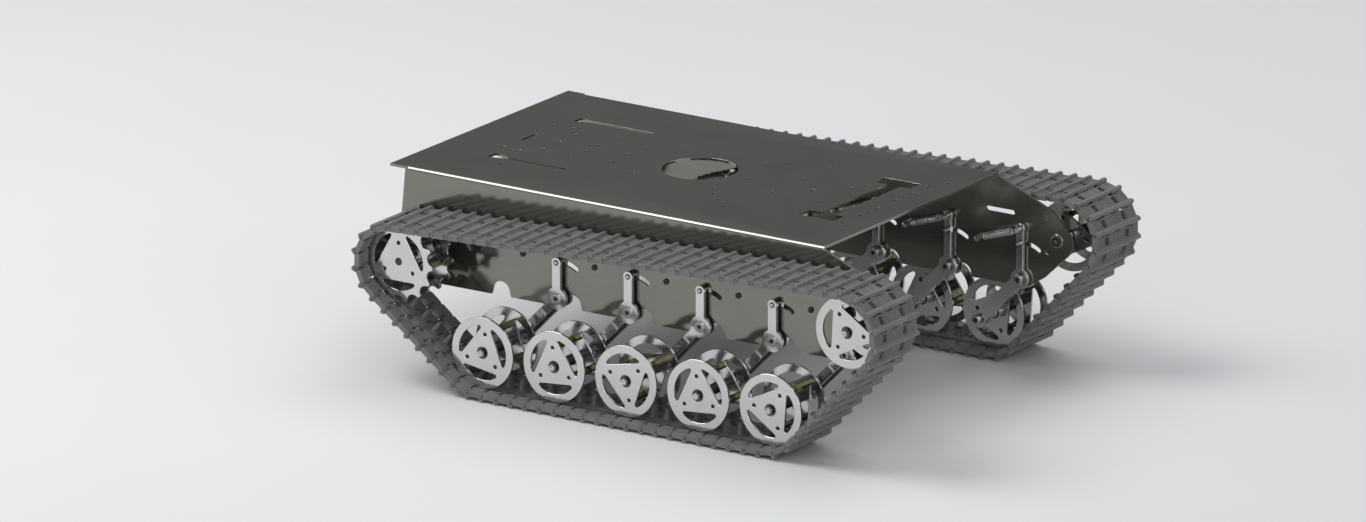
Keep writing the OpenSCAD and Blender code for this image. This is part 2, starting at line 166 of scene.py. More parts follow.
def crank_alloy():
    m = Shader("crank_alloy")
    brushed = m.noise(0.0008, 3, 0.6, (1, 1, 0.06))
    tint = m.ramp(m.noise(0.02, 4), (0.3, (0.62, 0.622, 0.615)), (0.7, (0.7, 0.7, 0.69)))
    tint = m.mix(0.22, tint, m.ramp(brushed, (0.35, 0.7), (0.65, 1.0)), "MULTIPLY")
    tint = m.mix(m.maths("MULTIPLY", m.edges(), 0.6), tint, (0.8, 0.8, 0.8))
    gloss = m.ramp(m.noise(0.01, 5), (0.3, 0.09), (0.7, 0.17))
    return m.surface(Base_Color=tint, Metallic=0.92, Roughness=gloss,
                     Normal=m.bump(brushed, 0.00003, 0.35))


def turned(name, low, high, rough, worn):
    """Turned or drawn metal: fine rings, blotches of handling and brighter edges."""
    blotch = 0.004
    m = Shader(name)
    fine = m.noise(0.0005, 2, 0.6, (1, 0.15, 1))
    tint = m.ramp(m.noise(blotch, 5, 0.65), (0.3, low), (0.7, high))
    tint = m.mix(0.25, tint, m.ramp(fine, (0.35, 0.65), (0.65, 1.0)), "MULTIPLY")
    tint = m.mix(m.maths("MULTIPLY", m.edges(), 0.55), tint, worn)
    gloss = m.ramp(m.noise(blotch * 0.7, 5), (0.3, rough * 0.75), (0.7, rough * 1.25))
    return m.surface(Base_Color=tint, Metallic=1.0, Roughness=gloss,
                     Normal=m.bump(fine, 0.00002, 0.4))


def track_plastic():
    m = Shader("track_plastic")
    grain = m.noise(0.00045, 3, 0.6)
    flow = m.noise(0.006, 4)
    tint = m.ramp(flow, (0.3, (0.135, 0.135, 0.133)), (0.7, (0.17, 0.17, 0.167)))
    dust = m.ramp(m.noise(0.018, 7, 0.7), (0.5, 0.0), (0.75, 1.0))
    tint = m.mix(m.maths("MULTIPLY", dust, 0.3), tint, (0.27, 0.266, 0.255))
    tint = m.mix(m.maths("MULTIPLY", m.edges(0.0004), 0.35), tint, (0.36, 0.36, 0.355))
    gloss = m.ramp(m.noise(0.004, 5), (0.3, 0.42), (0.7, 0.62))
    return m.surface(Base_Color=tint, Roughness=gloss, Specular_IOR_Level=0.45,
                     Normal=m.bump(grain, 0.00008, 0.5))


def motor_case():
    m = Shader("motor_case")
    grain = m.noise(0.0006, 3, 0.6)
    tint = m.ramp(m.noise(0.01, 5), (0.3, (0.045, 0.045, 0.048)), (0.7, (0.07, 0.07, 0.073)))
    tint = m.mix(m.maths("MULTIPLY", m.edges(), 0.5), tint, (0.3, 0.3, 0.3))
    gloss = m.ramp(m.noise(0.006, 5), (0.3, 0.32), (0.7, 0.48))
    return m.surface(Base_Color=tint, Metallic=0.35, Roughness=gloss,
                     Normal=m.bump(grain, 0.00005, 0.5))


HULL = hull_sheet()
DISC = disc_alloy()
CRANK = crank_alloy()
STEEL = turned("bright_steel", (0.5, 0.5, 0.49), (0.62, 0.62, 0.61), 0.26, (0.8, 0.8, 0.8))
DARK = turned("black_steel", (0.045, 0.046, 0.05), (0.075, 0.076, 0.08), 0.36, (0.3, 0.3, 0.3))
SPRING = turned("spring_wire", (0.5, 0.5, 0.5), (0.62, 0.62, 0.62), 0.3, (0.7, 0.7, 0.7))
PIN = turned("pin_steel", (0.16, 0.16, 0.165), (0.24, 0.24, 0.245), 0.4, (0.4, 0.4, 0.4))
# Brass with its colour painted much darker, as painted shade: the spacers and sleeves sit between discs and
# plates, in shade.
BRASS_WITH_PAINTED_SHADE = turned("brass", (0.14, 0.122, 0.05), (0.19, 0.165, 0.07), 0.22, (0.32, 0.28, 0.16))
PLASTIC = track_plastic()
CASE = motor_case()


# ---------- geometry, in millimetres ----------
class Solids:
    """Closed solids gathered into one piece, each with its own finish."""

    def __init__(self):
        self.verts, self.faces, self.marks, self.used = [], [], [], []

    def add(self, verts, faces, finish, place=None):
        base = len(self.verts)
        self.verts += [place @ Vector(v) if place else Vector(v) for v in verts]
        self.faces += [tuple(base + i for i in face) for face in faces]
        if finish not in self.used:
            self.used.append(finish)
        self.marks += [self.used.index(finish)] * len(faces)

    def skin(self, rings, finish, place=None, closed=False):
        """Skins rings of equal count; closed joins the last ring to the first."""
        n, rows = len(rings[0]), len(rings)
        faces = []
        for k in range(rows if closed else rows - 1):
            a, b = k * n, (k + 1) % rows * n
            faces += [(a + i, a + (i + 1) % n, b + (i + 1) % n, b + i) for i in range(n)]
        if not closed:
            faces += [tuple(range(n)), tuple((rows - 1) * n + i for i in range(n))]
        self.add([p for ring in rings for p in ring], faces, finish, place)

    def lathe(self, profile, finish, place=None, sides=40, closed=False):
        """Turns (y, radius) points about the Y axis."""
        self.skin([circle(y, r, sides) for y, r in profile], finish, place, closed)

    def hexagon(self, y0, y1, across, finish, place=None, bore=0, both=False):
        """Hexagon with its corners turned off at y1, and at y0 too if both is set."""
        n, flat = 36, 0.955 * across / 2
        sign = 1 if y1 > y0 else -1

        def side(k):
            return across / 2 / math.cos(math.radians((k * 10 + 30) % 60 - 30))

        def ring(y, off):
            return [(side(k) * cos(k * 10), y - off * sign * (side(k) - flat) * 0.58,
                     side(k) * sin(k * 10)) for k in range(n)]

        outer = [circle(y0, flat, n), ring(y0, -1)] if both else [ring(y0, 0)]
        outer += [ring(y1, 1), circle(y1, flat, n)]
        if bore:
            self.skin(outer + [circle(y1, bore, n), circle(y0, bore, n)], finish, place, True)
        else:
            self.skin(outer, finish, place)

    def screw_head(self, y0, radius, high, finish, place, sign, socket, dome=0.5):
        """Round head with a domed rim and a hexagon socket."""
        top = y0 + sign * high
        rim = [circle(y0, radius * 0.97, 36), circle(y0 + sign * high * 0.12, radius, 36)]
        for t in (0.0, 0.35, 0.7, 1.0):
            rim.append(circle(y0 + sign * high * (1 - dome + dome * math.sin(t * math.pi / 2)),
                              radius * (1 - 0.3 * (1 - math.cos(t * math.pi / 2))), 36))
        deep = top - sign * high * 0.7
        self.skin(rim + [hexring(top, socket, 36), hexring(deep, socket, 36),
                         circle(deep - sign * 0.1, 0.02, 36)], finish, place)

    def tube(self, path, radius, finish, place=None, sides=8):
        """A round wire along the points of path."""
        points = [Vector(p) for p in path]
        across, rings = None, []
        for i, p in enumerate(points):
            along = (points[min(i + 1, len(points) - 1)] - points[max(i - 1, 0)]).normalized()
            across = along.orthogonal() if across is None else across - along * across.dot(along)
            across.normalize()
            up = along.cross(across)
            rings.append([p + radius * (across * cos(360 * k / sides) + up * sin(360 * k / sides))
                          for k in range(sides)])
        self.skin(rings, finish, place)

    def piece(self, name, body, slot, *replaced, smooth=35):
        mesh = bpy.data.meshes.new(name)
        mesh.from_pydata([v * 0.001 for v in self.verts], [], self.faces)
        for finish in self.used:
            mesh.materials.append(finish)
        mesh.polygons.foreach_set("material_index", self.marks)
        fresh = bmesh.new()
        fresh.from_mesh(mesh)
        bmesh.ops.recalc_face_normals(fresh, faces=fresh.faces)
        fresh.to_mesh(mesh)
        fresh.free()
        mesh.shade_smooth()
        mesh.set_sharp_from_angle(angle=math.radians(smooth))
        obj = bpy.data.objects.new(name, mesh)
        bpy.context.scene.collection.objects.link(obj)
        if body:
            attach(obj, body)
        if replaced:
            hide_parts(*replaced)
        return obj


def cos(a):
    return math.cos(math.radians(a))


def sin(a):
    return math.sin(math.radians(a))


def circle(y, r, n):
    return [(r * cos(360 * k / n), y, r * sin(360 * k / n)) for k in range(n)]


def hexring(y, across, n):
    def side(k):
        return across / 2 / math.cos(math.radians((k * 360 / n + 30) % 60 - 30))
    return [(side(k) * cos(360 * k / n), y, side(k) * sin(360 * k / n)) for k in range(n)]


def bar(y0, y1, r, chamfer):
    """Profile of a round bar from y0 to y1 with chamfered ends."""
    return [(y0, r - chamfer), (y0 + chamfer, r), (y1 - chamfer, r), (y1, r - chamfer)]


def thread(y0, y1, r, pitch=0.7):
    """Profile of a threaded end that finishes at y1 with a chamfer."""
    sign = 1 if y1 > y0 else -1
    steps = int(abs(y1 - y0) / pitch)
    points = []
    for k in range(steps):
        y = y0 + sign * k * pitch
        points += [(y, r), (y + sign * pitch * 0.5, r - 0.22)]
    return points + [(y0 + sign * steps * pitch, r - 0.05), (y1, r - 0.5)]


def washer(y0, y1, inner, outer):
    c = 0.12 if y1 > y0 else -0.12
    return [(y0, inner), (y0, outer - 0.12), (y0 + c, outer), (y1 - c, outer),
            (y1, outer - 0.12), (y1, inner)]


def placed(x, y, z, turn=0, side=1):
    """Draws at a point with +Y outwards from the vehicle's middle; turn is from +X to +Z."""
    return (Matrix.Diagonal((1, side, 1, 1)) @ Matrix.Translation((x, y, z))
            @ Matrix.Rotation(math.radians(-turn), 4, "Y"))


axes = {joint["name"]: Vector(joint["pos_m"]) * 1000 for joint in frame["joints"]}
track_y = abs(axes["left_sprocket_spin"].y)
half_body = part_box("chassis_shell")[1][1] * 1000
wheel_at = [axes[f"left_wheel_{i}_spin"] for i in range(1, 6)]
pivot_at = [axes[f"left_arm_{i}_swing"] for i in range(1, 6)]
idler_at, sprocket_at = axes["left_idler_spin"], axes["left_sprocket_spin"]
# Faces of the cranks, and of a wheel's two discs from the track's middle.
crank_in, crank_out = half_body - 6, half_body + 2.6
disc_in, disc_out = 15.4, 17.4
# Radius of the hinges' path round the wheels and idler, and round the sprocket; their height in a link.
turn_r, drive_r, hinge_h = 31.8454, 30.46, 2.35
# From an arm's pivot: the spring's post in the wall, the spring's stud and the pin that ties the cranks.
post_dx, post_dz, stud_dz, tie_dz = -35, 29.5, 41, 29.2
spacer_r = 15.4


# ---------- track ----------
def track_frames(count=80):
    """Middle and direction of every link, from the path round the wheels, idler and sprocket."""
    turns = [(wheel_at[0], turn_r), (wheel_at[4], turn_r), (idler_at, turn_r), (sprocket_at, drive_r)]
    turns = [(Vector((c.x, c.z)), r) for c, r in turns]
    normals, runs = [], []
    for k, (c, r) in enumerate(turns):
        d, q = turns[(k + 1) % 4]
        v = d - c
        normals.append(math.atan2(v.y, v.x) - math.acos((r - q) / v.length))
    stretches = []
    for k, (c, r) in enumerate(turns):
        d, q = turns[(k + 1) % 4]
        unit = Vector((math.cos(normals[k]), math.sin(normals[k])))
        bend = (normals[k] - normals[k - 1]) % (2 * math.pi)
        stretches.append((bend * r, lambda s, c=c, r=r, a=normals[k] - bend: c + r * Vector(
            (math.cos(a + s / r), math.sin(a + s / r)))))
        start, end = c + r * unit, d + q * unit
        long = (end - start).length
        stretches.append((long, lambda s, a=start, b=end, long=long: a + (b - a) * (s / long)))
    whole = sum(long for long, _ in stretches)

    def point(s):
        s %= whole
        for long, where in stretches:
            if s < long:
                return where(s)
            s -= long
        return stretches[-1][1](stretches[-1][0])

    hinges = [point(whole * k / count) for k in range(count)]
    found = []
    for k in range(count):
        a, b = hinges[k], hinges[(k + 1) % count]
        found.append(((a + b) / 2, (b - a).normalized()))
    return found, whole / count


def prism(name, outline, low, high, axis):
    """A temporary closed solid: a 2-D outline pushed along one axis."""
    n = len(outline)
    order = {"y": lambda a, b, c: (a, c, b), "h": lambda a, b, c: (a, b, c),
             "s": lambda a, b, c: (c, a, b)}[axis]
    verts = [order(a, b, low) for a, b in outline] + [order(a, b, high) for a, b in outline]
    faces = [tuple(range(n)), tuple(range(2 * n - 1, n - 1, -1))]
    faces += [(i, (i + 1) % n, n + (i + 1) % n, n + i) for i in range(n)]
    return solid(name, verts, faces)


def solid(name, verts, faces):
    mesh = bpy.data.meshes.new(name)
    mesh.from_pydata(verts, [], faces)
    fresh = bmesh.new()
    fresh.from_mesh(mesh)
    bmesh.ops.recalc_face_normals(fresh, faces=fresh.faces)
    fresh.to_mesh(mesh)
    fresh.free()
    obj = bpy.data.objects.new(name, mesh)
    bpy.context.scene.collection.objects.link(obj)
    return obj


def combine(base, joined, cut, added=()):
    """Joins and cuts temporary solids, rounds the edges, and returns the vertices and faces."""
    for what, tools in (("UNION", joined), ("DIFFERENCE", cut), ("UNION", added)):
        for tool in tools:
            step = base.modifiers.new("step", "BOOLEAN")
            step.operation, step.solver, step.object = what, "MANIFOLD", tool
    flat = base.modifiers.new("flat", "DECIMATE")
    flat.decimate_type, flat.angle_limit = "DISSOLVE", math.radians(1)
    bevel = base.modifiers.new("round", "BEVEL")
    bevel.width, bevel.segments, bevel.use_clamp_overlap = 0.14, 1, True
    bevel.limit_method, bevel.angle_limit = "ANGLE", math.radians(42)
    graph = bpy.context.evaluated_depsgraph_get()
    mesh = bpy.data.meshes.new_from_object(base.evaluated_get(graph))
    verts = [v.co.copy() for v in mesh.vertices]
    faces = [tuple(p.vertices) for p in mesh.polygons]
    bpy.data.meshes.remove(mesh)
    for obj in [base, *joined, *cut, *added]:
        data = obj.data
        bpy.data.objects.remove(obj)
        bpy.data.meshes.remove(data)
    return verts, faces


def link_solid(pitch):
    """One track link in its own directions: s along the track, y across, h out from the inner face."""
    p, pin, plate, width = pitch / 2, hinge_h, 4.2, 30.5
    top = wheel_at[0].z - turn_r + pin
    barrel = 1.95

    def section(front, rear):
        def end(sign, round_end):
            if not round_end:
                return [(sign * (p - 2.35), 0.3), (sign * (p - 2.35), plate - 0.3)]
            ring = [(sign * (p + barrel * cos(a)), pin + barrel * sin(a))
                    for a in range(-90, 91, 18)]
            return [(sign * (p - 0.9), 0.05)] + ring
        right = end(1, front)
        left = end(-1, rear)
        return [(-p + 3.2, 0), (p - 3.2, 0)] + right + [(p - 3.2, plate), (-p + 3.2, plate)] + left[::-1]

    parts = []
    zones = [(3.75, 10.9, True, False), (17.3, 22.9, False, True), (23.2, 29.9, True, False)]
    seat = [(-p - 1.3, 3.4), (-p + 3.0, 3.4), (-p + 3.0, 4.6), (-p - 1.3, 4.6)]
    for y0, y1, front, rear in zones:
        for sign in (-1, 1):
            across = sorted((sign * y0, sign * y1))
            parts.append(prism("zone", section(front, rear), *across, "y"))
            if rear:
                parts.append(prism("seat", seat, *across, "y"))
    parts.append(prism("zone", section(False, True), -3.5, 3.5, "y"))
    parts.append(prism("seat", seat, -3.5, 3.5, "y"))
    spine = [(-p + 2.5, 0.0), (p - 2.5, 0.0), (p - 2.5, plate - 0.12), (-p + 2.5, plate - 0.12)]
    parts.append(prism("spine", spine, -29.85, 29.85, "y"))
    grouser = [(-p - 2.0, 4.36), (-p + 2.05, 4.36), (-p + 2.15, 3.7), (-p + 3.3, 3.7), (-p + 3.1, 4.5),
               (-p + 1.3, top - 0.35), (-p + 0.95, top), (-p - 0.95, top), (-p - 1.25, top - 0.35)]
    base = prism("link", grouser, -width, width, "y")
    for sign in (-1, 1):
        for y in (1.9, 5.3, 8.7, 18.6, 21.4, 24.6, 27.6):
            rib = [(sign * y - 0.52, 3.9), (sign * y + 0.52, 3.9), (sign * y + 0.3, 4.85),
                   (sign * y - 0.3, 4.85)]
            parts.append(prism("rib", rib, -p + 1.6, p - 2.3, "s"))
    rings = [(0.8, 2.8, 5.2), (0.0, 2.7, 5.1), (-1.2, 2.45, 4.75), (-5.0, 1.95, 3.9),
             (-7.4, 1.6, 3.25), (-8.1, 1.3, 2.9), (-8.4, 0.9, 2.4)]
    n = 20
    verts = []
    for h, a, b in rings:
        for k in range(n):
            c, s = cos(360 * k / n), sin(360 * k / n)
            verts.append((a * math.copysign(abs(c) ** 0.55, c), b * math.copysign(abs(s) ** 0.55, s), h))
    faces = [(r * n + k, r * n + (k + 1) % n, (r + 1) * n + (k + 1) % n, (r + 1) * n + k)
             for r in range(len(rings) - 1) for k in range(n)]
    faces += [tuple(range(n)), tuple(range((len(rings) - 1) * n, len(rings) * n))]
    parts.append(solid("horn", verts, faces))
    cuts, webs = [], []
    for sign in (-1, 1):
        across = sorted((sign * 11.2, sign * 17.0))
        channel = [(-pitch, -1), (pitch, -1), (pitch, 4.9), (-pitch, 4.9)]
        cuts.append(prism("channel", channel, *across, "y"))
        hole = [(sign * p + 1.06 * cos(a), pin + 1.06 * sin(a)) for a in range(0, 360, 24)]
        cuts.append(prism("hole", hole, -40, 40, "y"))
        for end in (-1, 1):
            s0, s1 = sorted((end * 3.25, end * 4.4))
            web = [(s0, 2.7), (s1, 2.7), (s1, plate), (s0, plate)]
            webs.append(prism("web", web, across[0] - 0.3, across[1] + 0.3, "y"))
    return combine(base, parts, cuts, webs)


def tracks():
    links, pitch = track_frames()
    verts, faces = link_solid(pitch)
    for side, sign in SIDES:
        made = Solids()
        for middle, along in links:
            out = Vector((along.y, -along.x))
            place = Matrix(((along.x, 0, out.x, middle.x - hinge_h * out.x),
                            (0, -1, 0, sign * track_y),
                            (along.y, 0, out.y, middle.y - hinge_h * out.y),
                            (0, 0, 0, 1)))
            made.add(verts, faces, PLASTIC, place)
        made.piece(f"{side}_track_links", "chassis", "track_plastic", f"{side}_track", smooth=30)


# ---------- wheels' hubs, axles and screws ----------
def bearing(made, place, side):
    """Ball bearing sunk in one disc's bore: outer race, dark seal, inner race."""
    def at(y):
        return side * y
    deep, face = disc_in - 0.6, disc_out - 0.9
    made.lathe([(at(deep), 4.2), (at(deep), 4.98), (at(face - 0.1), 4.98), (at(face), 4.85),
                (at(face), 4.2)], PIN,
               place, 40, True)
    made.lathe([(at(face - 0.35), 4.2), (at(face - 0.25), 3.8), (at(face - 0.35), 3.3), (at(face - 1.0), 3.3),
                (at(face - 1.0), 4.2)], DARK, place, 40, True)
    made.lathe([(at(deep), 2.52), (at(deep), 3.3), (at(face - 0.1), 3.3), (at(face), 3.15),
                (at(disc_out + 0.22), 3.0),
                (at(disc_out + 0.22), 2.52)], DARK, place, 40, True)


def spacer(made, place, reach, across=4.9):
    """Hexagonal brass spacer with a waist, held by a sunk socket screw in each disc."""
    made.hexagon(-reach + 0.02, -3.4, across, BRASS_WITH_PAINTED_SHADE, place, both=True)
    made.hexagon(3.4, reach - 0.02, across, BRASS_WITH_PAINTED_SHADE, place, both=True)
    made.lathe([(-3.6, 1.9), (-3.0, 2.05), (3.0, 2.05), (3.6, 1.9)], BRASS_WITH_PAINTED_SHADE, place, 24)
    for end in (-1, 1):
        made.lathe([(end * (reach - 0.5), 1.55), (end * (reach + 0.5), 1.55)], DARK, place, 24)
        made.screw_head(end * (reach + 0.45), 1.62, 0.6, DARK, place, end, 1.6, 0.3)


def hub(name, body, node, at, turn, side):
    made = Solids()
    place = placed(at.x, track_y, at.z, turn, side)
    for end in (-1, 1):
        bearing(made, place, end)
    made.lathe([(-14.7, 2.6), (-14.7, 3.6), (-14.3, 4.3), (-9.2, 4.3), (-8.8, 3.9), (-8.2, 3.9), (-7.8, 4.3),
                (7.8, 4.3), (8.2, 3.9), (8.8, 3.9), (9.2, 4.3), (14.3, 4.3), (14.7, 3.6), (14.7, 2.6)],
               DARK, place, 40, True)
    for a in (0, 120, 240):
        post = placed(at.x, track_y, at.z, turn + a, side) @ Matrix.Translation((spacer_r, 0, 0))
        spacer(made, post, disc_in)
    made.piece(name, body, "steel", node)


def sleeve(made, place, y0, y1):
    """Turned spacing sleeve with a groove near each end."""
    outer, c = 4.0, 0.25
    points = [(y0, 2.5), (y0, outer - c), (y0 + c, outer)]
    if y1 - y0 > 5:
        for y in (y0 + 1.2, y1 - 1.6):
            points += [(y, outer), (y + 0.1, outer - 0.18), (y + 0.3, outer - 0.18), (y + 0.4, outer)]
    points += [(y1 - c, outer), (y1, outer - c), (y1, 2.5)]
    made.lathe(points, STEEL, place, 36, True)


def lock_nut(made, place, y0):
    """Hexagon nut on its washer, with the locking ring in its collar."""
    across, high, bore = 5.9, 2.1, 2.45
    made.lathe(washer(y0, y0 + 0.4, bore, across * 0.5), DARK, place, 36, True)
    made.hexagon(y0 + 0.4, y0 + high, across, PIN, place, bore=across * 0.4)
    top = y0 + high
    made.lathe([(top - 0.4, bore), (top - 0.4, across * 0.41), (top + 0.2, across * 0.41),
                (top + 0.45, across * 0.36), (top + 0.45, bore + 0.1)], DARK, place, 36, True)


def shaft_end(made, place, y0, y1):
    """Threaded end with a small centre hole in its face."""
    points = thread(y0, y1, 2.42)
    sign = 1 if y1 > y0 else -1
    made.lathe(points + [(y1, 0.75), (y1 - sign * 0.8, 0.1)], STEEL, place, 32)


def axle(name, body, node, at, pivot, side):
    made = Solids()
    place = placed(at.x, 0, at.z, 0, side)
    inner, outer = crank_in - 3, crank_out + 3
    hub_in, hub_out = track_y - disc_out - 0.25, track_y + disc_out + 0.25
    made.lathe(bar(inner - 0.6, hub_out + 0.6, 2.45, 0.1), STEEL, place, 36)
    shaft_end(made, place, hub_out + 0.5, hub_out + 3.4)
    made.lathe([(inner - 0.5, 2.2), (inner - 0.5, 3.8), (inner - 1.0, 3.8), (inner - 1.3, 3.4),
                (inner - 1.3, 2.2)], STEEL,
               place, 36, True)
    made.lathe([(inner - 0.5, 2.2), (inner - 0.75, 2.2), (inner - 0.75, 0.6)], DARK, place, 30)
    made.lathe(washer(inner - 0.5, inner, 2.5, 4.3), STEEL, place, 36, True)
    sleeve(made, place, crank_in + 0.02, crank_out - 0.02)
    sleeve(made, place, outer + 0.02, hub_in)
    lock_nut(made, place, hub_out)
    pin = placed(pivot.x, 0, pivot.z + tie_dz, 0, side)
    made.lathe(bar(inner - 0.7, outer + 0.8, 1.5, 0.3), STEEL, pin, 28)
    made.lathe(washer(inner - 0.35, inner - 0.02, 1.5, 2.5), DARK, pin, 28, True)
    made.lathe(washer(outer + 0.02, outer + 0.35, 1.5, 2.3), DARK, pin, 28, True)
    stud = placed(pivot.x, 0, pivot.z + stud_dz, 0, side)
    end = half_body - 14.1
    made.lathe([(end, 1.5), (end + 0.2, 1.8), (end + 1.0, 1.8), (end + 1.2, 1.2), (crank_in + 0.35, 1.2)],
               STEEL, stud, 24)
    made.hexagon(inner - 0.02, inner - 1.9, 4.0, STEEL, stud, both=True)
    made.lathe([(crank_in + 0.02, 2.1), (crank_in + 0.5, 1.9), (crank_in + 0.75, 1.3)], STEEL, stud, 24)
    made.piece(name, body, "steel", node)


def pivots():
    made = Solids()
    for _, side in SIDES:
        for at in pivot_at:
            place = placed(at.x, 0, at.z, 0, side)
            inner, outer = crank_in - 3, crank_out + 3
            made.lathe(bar(inner + 0.1, outer - 0.1, 3.0, 0.1), STEEL, place, 36)
            made.lathe([(crank_in + 0.1, 3.0), (crank_in + 0.1, 4.6), (half_body - 2.1, 4.6),
                        (half_body - 2.1, 3.0)],
                       BRASS_WITH_PAINTED_SHADE, place, 36, True)
            made.lathe([(half_body + 0.05, 3.0), (half_body + 0.05, 4.6), (crank_out - 0.1, 4.6),
                        (crank_out - 0.1, 3.0)],
                       BRASS_WITH_PAINTED_SHADE, place, 36, True)
            for face, sign in ((outer + 0.02, 1), (inner - 0.02, -1)):
                made.lathe([(face, 1.9), (face, 4.6), (face + sign * 0.5, 4.6), (face + sign * 0.8, 4.2),
                            (face + sign * 0.8, 1.9)], STEEL, place, 40, True)
                made.lathe([(face, 1.9), (face + sign * 0.2, 1.9), (face + sign * 0.2, 0.6)], DARK, place, 30)
    made.piece("pivot_hardware", "chassis", "dark_steel", "pivot_bolts")


def idler_axle_parts():
    made = Solids()
    hub_in, hub_out = track_y - disc_out - 0.25, track_y + disc_out + 0.25
    for _, side in SIDES:
        place = placed(idler_at.x, 0, idler_at.z, 0, side)
        made.lathe(bar(half_body - 3.4, hub_out + 0.6, 2.45, 0.1), STEEL, place, 36)
        shaft_end(made, place, hub_out + 0.5, hub_out + 4.0)
        made.lathe(washer(half_body - 2.5, half_body - 2.02, 2.5, 5.6), STEEL, place, 40, True)
        made.screw_head(half_body - 2.5, 4.0, 1.8, DARK, place, -1, 3.6, 0.35)
        made.lathe(washer(half_body + 0.02, half_body + 0.6, 2.5, 5.4), STEEL, place, 40, True)
        sleeve(made, place, half_body + 0.6, hub_in)
        lock_nut(made, place, hub_out)
    made.piece("idler_axle_parts", "chassis", "steel", "idler_axles")


def wall_hardware():
    """Spring posts with their nuts and grooves, and the screws that hold the motors."""
    made = Solids()
    post_end = half_body - 14.1
    for _, side in SIDES:
        for at in pivot_at:
            place = placed(at.x + post_dx, 0, at.z + post_dz, 0, side)
            made.lathe([(post_end, 1.6), (post_end + 0.25, 2.3), (post_end + 1.0, 2.3),
                        (post_end + 1.3, 1.65),
                        (half_body + 0.2, 1.65)], STEEL, place, 28)
            made.hexagon(half_body - 2.02, half_body - 4.4, 5.4, STEEL, place, both=True)
            made.screw_head(half_body + 0.02, 2.4, 1.3, DARK, place, 1, 2.2)
        for a in range(30, 331, 60):
            place = (placed(sprocket_at.x, 0, sprocket_at.z, a, side) @ Matrix.Translation((15.5, 0, 0)))
            made.lathe([(half_body - 6, 1.5), (half_body + 0.2, 1.5)], DARK, place, 24)
            made.screw_head(half_body + 0.02, 2.65, 1.6, DARK, place, 1, 2.3)
    made.piece("wall_hardware", "chassis", "dark_steel", "wall_screws")


def sprocket_hub(name, body, node, side):
    made = Solids()
    place = placed(sprocket_at.x, track_y, sprocket_at.z, 0, side)
    face = 12.8
    made.lathe([(-face + 0.02, 3.1), (-face + 0.02, 8.6), (-face + 2.0, 8.6), (-face + 2.6, 7.6), (-4, 7.6),
                (-3.6, 7.2),
                (3.6, 7.2), (4, 7.6), (face - 2.6, 7.6), (face - 2.0, 8.6), (face - 0.02, 8.6),
                (face - 0.02, 3.1)],
               STEEL, place, 56, True)
    shaft_in = half_body - 22 - track_y
    made.lathe(bar(shaft_in, face + 1.6, 3.0, 0.3), STEEL, place, 40)
    made.lathe(bar(face + 1.5, face + 2.7, 2.95, 0.3), DARK, place, 40)
    made.lathe([(half_body + 1.5 - track_y, 3.05), (half_body + 1.5 - track_y, 5.3),
                (half_body + 1.8 - track_y, 5.6),
                (-face - 6.4, 5.6), (-face - 6.2, 5.2), (-face - 5.6, 5.2), (-face - 5.4, 5.6),
                (-face - 2.5, 5.6), (-face - 2.25, 5.3), (-face - 2.25, 3.05)], STEEL, place, 44, True)
    for a in (30, 150, 270):
        grub = placed(sprocket_at.x, track_y, sprocket_at.z, a, side) @ Matrix.Rotation(-math.pi / 2, 4, "Z")
        made.screw_head(7.0, 1.7, 0.9, DARK, grub, 1, 1.6, 0.3)
    for a in (90, 210, 330):
        post = placed(sprocket_at.x, track_y, sprocket_at.z, a, side) @ Matrix.Translation((15.3, 0, 0))
        spacer(made, post, face, 4.7)
    made.lathe([(face + 2.6, 2.7), (face + 2.75, 2.5), (face + 2.75, 1.3), (face + 1.6, 0.6)], DARK, place,
               40)
    made.piece(name, body, "steel", node)


